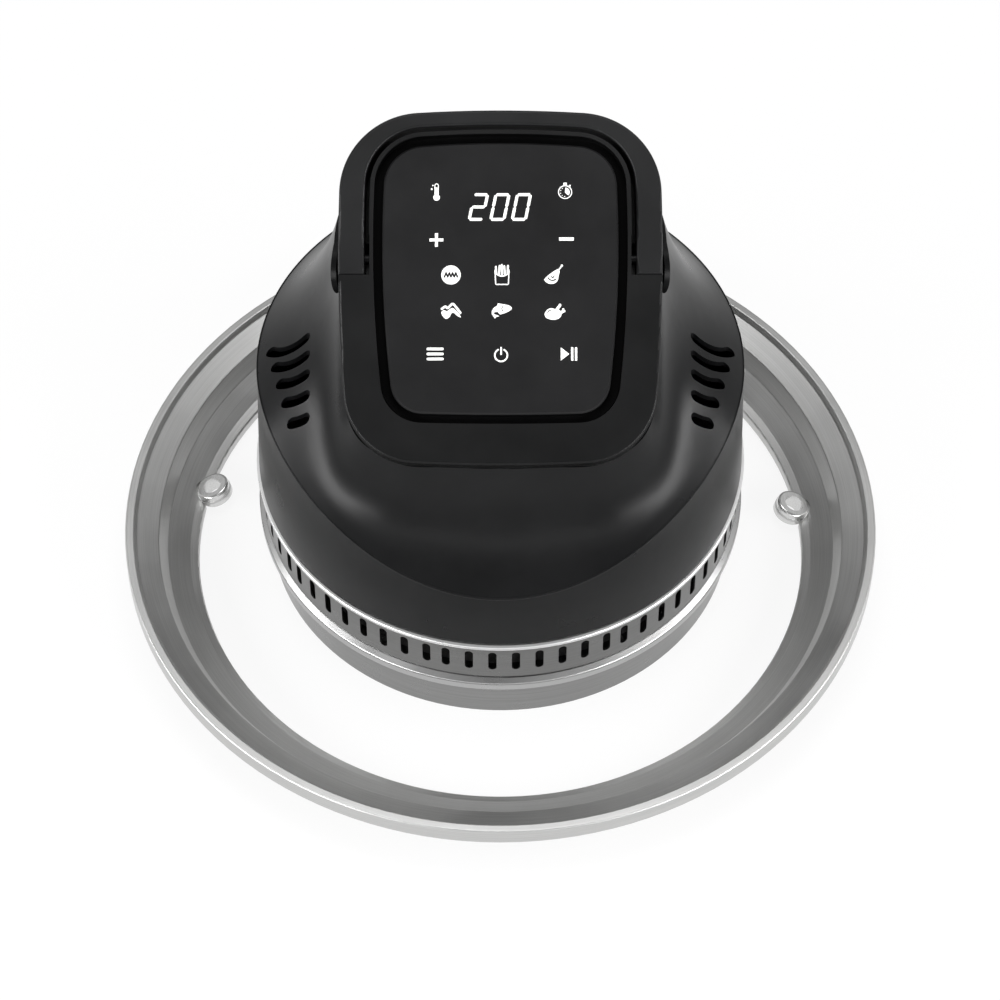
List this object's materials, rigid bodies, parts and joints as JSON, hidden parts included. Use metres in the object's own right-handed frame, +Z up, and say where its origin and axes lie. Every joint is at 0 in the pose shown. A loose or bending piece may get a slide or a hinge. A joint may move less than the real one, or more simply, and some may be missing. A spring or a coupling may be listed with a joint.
{
  "type": "air frying lid",
  "caption": "Air-frying lid for a multicooker with tilted touch panel, folding grip, vented steel band, fan and heater, shown in a loose stepped steel rim ring",
  "frame": {"origin": "on the lid's axis, at the bottom edge of the steel skirt that enters the pot", "axes": "+Z up along the lid's axis, +X to the user's right, +Y towards the back, the control panel faces the front (-Y) and up"},
  "size_m": [0.348, 0.348, 0.2159],
  "materials": {
    "steel_satin": "spun satin stainless steel",
    "steel_bright": "bright polished stainless steel",
    "steel_sheet": "plain inner sheet steel",
    "housing_black": "fine-grained black plastic",
    "bezel_black": "smooth black plastic",
    "grip_black": "satin dark grey plastic",
    "lens_black": "smoked touch panel with plain white symbols",
    "heater_tube": "oxidised heater sheath",
    "wire_bright": "bright wire",
    "pin_dark": "blackened steel pins",
    "screw_steel": "plated screws",
    "fan_aluminium": "plain aluminium sheet",
    "motor_steel": "zinc-plated can",
    "winding": "varnished copper and laminations",
    "rubber_black": "black rubber",
    "ceramic_white": "white steatite",
    "board_green": "circuit board",
    "part_black": "moulded component",
    "part_blue": "capacitor sleeve",
    "part_white": "white plastic",
    "blade_brass": "nickel-plated brass"
  },
  "bodies": {
    "lid": {"pot_skirt": "steel_satin", "heat_shield": "steel_sheet", "vent_band": "steel_satin", "band_screws": "screw_steel", "chassis_plate": "steel_sheet", "housing_screws": "screw_steel", "guard_grille": "wire_bright", "guard_posts": "steel_sheet", "guard_screws": "screw_steel", "heating_coil": "heater_tube", "coil_brackets": "steel_sheet", "coil_bushes": "ceramic_white", "temperature_probe": "steel_bright", "motor_stator": "winding", "motor_case": "motor_steel", "motor_mounts": "rubber_black", "thermal_cutout": "ceramic_white", "lower_housing": "housing_black", "upper_housing": "housing_black", "mains_inlet": "part_black", "inlet_blades": "blade_brass", "control_bezel": "bezel_black", "control_lens": "lens_black", "display_board": "board_green", "board_screws": "screw_steel", "digit_display": "part_black", "touch_posts": "part_white", "hinge_pins": "pin_dark", "micro_switch": "part_black", "power_board": "board_green", "board_stands": "part_white", "transformer": "winding", "relays": "part_black", "capacitors": "part_blue"},
    "handle": {"grip_cover": "grip_black", "grip_base": "grip_black", "grip_screws": "screw_steel"},
    "fan_rotor": {"fan_shaft": "steel_bright", "convection_fan": "fan_aluminium", "cooling_fan": "fan_aluminium", "fan_nut": "screw_steel", "motor_armature": "winding"},
    "switch_plunger": {"switch_plunger": "part_white"},
    "adapter_ring": {"rim_ring": "steel_bright", "eyelets": "steel_bright"}
  },
  "joints": [
    {"name": "grip_fold", "type": "hinge", "parent": "lid", "child": "handle", "pos_m": [0, 0.00708, 0.17797], "axis": [1, 0, 0], "range_deg": [0, 85]},
    {"name": "fan_spin", "type": "hinge", "parent": "lid", "child": "fan_rotor", "pos_m": [0, 0, 0.06], "axis": [0, 0, 1], "continuous": true},
    {"name": "plunger_rise", "type": "slide", "parent": "lid", "child": "switch_plunger", "axis": [0, -0.4695, 0.8829], "range_m": [0, 0.002]},
    {"name": "ring_lift", "type": "slide", "parent": "lid", "child": "adapter_ring", "axis": [0, 0, 1], "range_m": [0, 0.23]}
  ],
  "couplings": [
    {"joint": "plunger_rise", "follows": "grip_fold", "m_per_rad": 0.001348}
  ]
}
